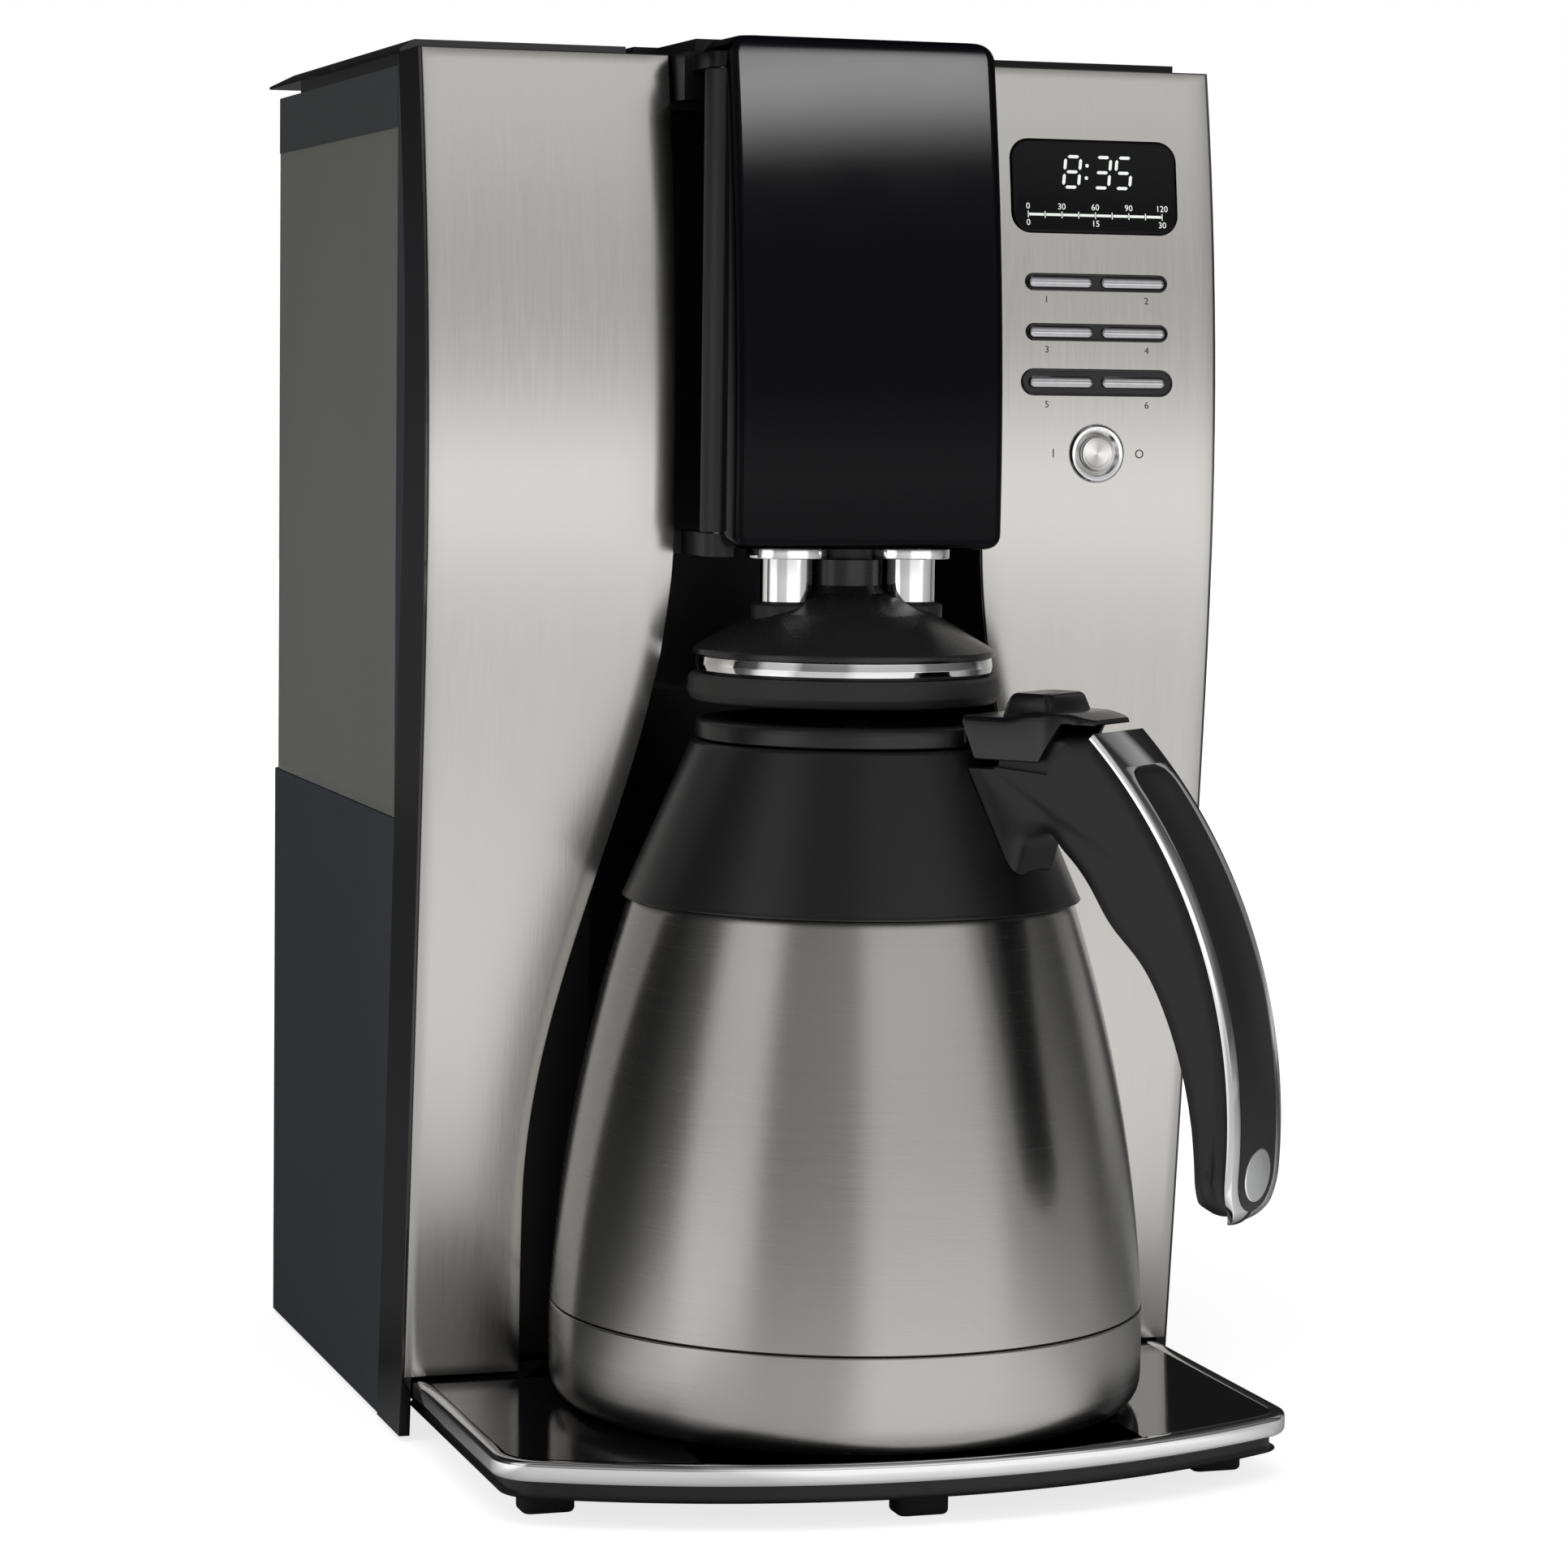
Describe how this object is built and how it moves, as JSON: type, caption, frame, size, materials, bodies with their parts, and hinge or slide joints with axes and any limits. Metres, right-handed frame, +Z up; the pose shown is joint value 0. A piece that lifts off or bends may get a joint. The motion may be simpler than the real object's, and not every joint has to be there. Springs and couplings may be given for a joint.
{
  "type": "drip coffee maker",
  "caption": "Drip coffee maker with a bowed steel front, swing-out brew head, side water tank, clock and keys, and a vacuum carafe with a loop handle.",
  "frame": {"origin": "on the standing surface under the rubber feet, at the middle of the whole outline in plan", "axes": "+X to the side with the keys, +Y to the back, +Z up; the carafe's pull-out is along -Y"},
  "size_m": [0.2232, 0.3392, 0.378],
  "materials": {
    "black_plastic": "fine grained, satin",
    "gloss_black": "polished",
    "side_plastic": "textured",
    "steel_panel": "vertical brushing, satin",
    "steel_body": "brushed round the body, satin",
    "chrome_trim": "mirror bright",
    "smoked_clear": "smoked, polished",
    "display_lens": "polished",
    "rubber": "matt",
    "silicone": "matt",
    "board": "lacquered",
    "aluminium": "as cast",
    "wire": "bright"
  },
  "bodies": {
    "brewer": {"housing": "side_plastic", "rear_cover": "side_plastic", "top_cover": "gloss_black", "base_tray": "black_plastic", "base_trim": "chrome_trim", "stand_plate": "gloss_black", "feet": "rubber", "left_frame": "gloss_black", "right_frame": "gloss_black", "left_skin": "steel_panel", "right_skin": "steel_panel", "bay_liner": "gloss_black", "spray_head": "black_plastic", "riser_tube": "wire", "heater": "aluminium", "thermostats": "wire", "water_hose": "silicone", "hose_clamps": "wire", "valve_seat": "black_plastic", "seat_seal": "silicone", "display_lens": "display_lens", "display_board": "board", "control_board": "board", "key_bezels": "gloss_black", "button_ring": "chrome_trim", "cord_inlet": "black_plastic", "screws": "wire", "hinge_pin": "wire"},
    "bar_key_1": {"bar_key_1": "chrome_trim"},
    "bar_key_2": {"bar_key_2": "chrome_trim"},
    "bar_key_3": {"bar_key_3": "chrome_trim"},
    "bar_key_4": {"bar_key_4": "chrome_trim"},
    "bar_key_5": {"bar_key_5": "chrome_trim"},
    "bar_key_6": {"bar_key_6": "chrome_trim"},
    "brew_button": {"brew_button": "chrome_trim"},
    "brew_door": {"door_cover": "gloss_black", "door_frame": "black_plastic", "basket_holder": "black_plastic", "filter_basket": "black_plastic", "strut_sleeves": "chrome_trim", "hood": "gloss_black", "hood_ring": "chrome_trim", "hood_seal": "rubber", "drip_spring": "wire"},
    "drip_stop": {"drip_stop": "black_plastic"},
    "reservoir": {"tank": "smoked_clear", "tank_collar": "black_plastic", "tank_valve": "black_plastic"},
    "reservoir_lid": {"reservoir_lid": "gloss_black"},
    "carafe": {"carafe_shell": "steel_body", "carafe_base": "steel_body", "carafe_liner": "steel_body", "carafe_shoulder": "gloss_black", "carafe_handle": "black_plastic", "handle_trim": "chrome_trim", "handle_insert": "black_plastic", "handle_disc": "chrome_trim", "carafe_lid": "gloss_black", "lever_pin": "wire"},
    "thumb_lever": {"thumb_lever": "gloss_black"}
  },
  "joints": [
    {"name": "bar_key_1_press", "type": "slide", "parent": "brewer", "child": "bar_key_1", "axis": [0, 1, 0], "range_m": [0, 0.0008], "stiffness_N_per_m": 1500, "springref_m": -0.0008},
    {"name": "bar_key_2_press", "type": "slide", "parent": "brewer", "child": "bar_key_2", "axis": [0, 1, 0], "range_m": [0, 0.0008], "stiffness_N_per_m": 1500, "springref_m": -0.0008},
    {"name": "bar_key_3_press", "type": "slide", "parent": "brewer", "child": "bar_key_3", "axis": [0, 1, 0], "range_m": [0, 0.0008], "stiffness_N_per_m": 1500, "springref_m": -0.0008},
    {"name": "bar_key_4_press", "type": "slide", "parent": "brewer", "child": "bar_key_4", "axis": [0, 1, 0], "range_m": [0, 0.0008], "stiffness_N_per_m": 1500, "springref_m": -0.0008},
    {"name": "bar_key_5_press", "type": "slide", "parent": "brewer", "child": "bar_key_5", "axis": [0, 1, 0], "range_m": [0, 0.0008], "stiffness_N_per_m": 1500, "springref_m": -0.0008},
    {"name": "bar_key_6_press", "type": "slide", "parent": "brewer", "child": "bar_key_6", "axis": [0, 1, 0], "range_m": [0, 0.0008], "stiffness_N_per_m": 1500, "springref_m": -0.0008},
    {"name": "brew_button_press", "type": "slide", "parent": "brewer", "child": "brew_button", "axis": [0, 1, 0], "range_m": [0, 0.0012], "stiffness_N_per_m": 1500, "springref_m": -0.0008},
    {"name": "brew_door_swing", "type": "hinge", "parent": "brewer", "child": "brew_door", "pos_m": [-0.036, -0.06093, 0.31], "axis": [0, 0, -1], "range_deg": [0, 100]},
    {"name": "drip_stop_lift", "type": "slide", "parent": "brew_door", "child": "drip_stop", "axis": [0, 0, 1], "range_m": [0, 0.003], "stiffness_N_per_m": 200, "springref_m": -0.003, "deforming": ["drip_spring"]},
    {"name": "reservoir_lift", "type": "slide", "parent": "brewer", "child": "reservoir", "axis": [0, 0, 1], "range_m": [0, 0.23]},
    {"name": "reservoir_lid_hinge", "type": "hinge", "parent": "reservoir", "child": "reservoir_lid", "pos_m": [-0.0485, 0.08257, 0.3763], "axis": [0, 1, 0], "range_deg": [0, 92]},
    {"name": "carafe_pull", "type": "slide", "parent": "brewer", "child": "carafe", "axis": [0, -1, 0], "range_m": [0, 0.25]},
    {"name": "thumb_lever_press", "type": "hinge", "parent": "carafe", "child": "thumb_lever", "pos_m": [0.02893, -0.10191, 0.1995], "axis": [0.766, 0.6428, 0], "range_deg": [0, 5], "stiffness_Nm_per_rad": 0.3, "springref_deg": -5.73}
  ]
}
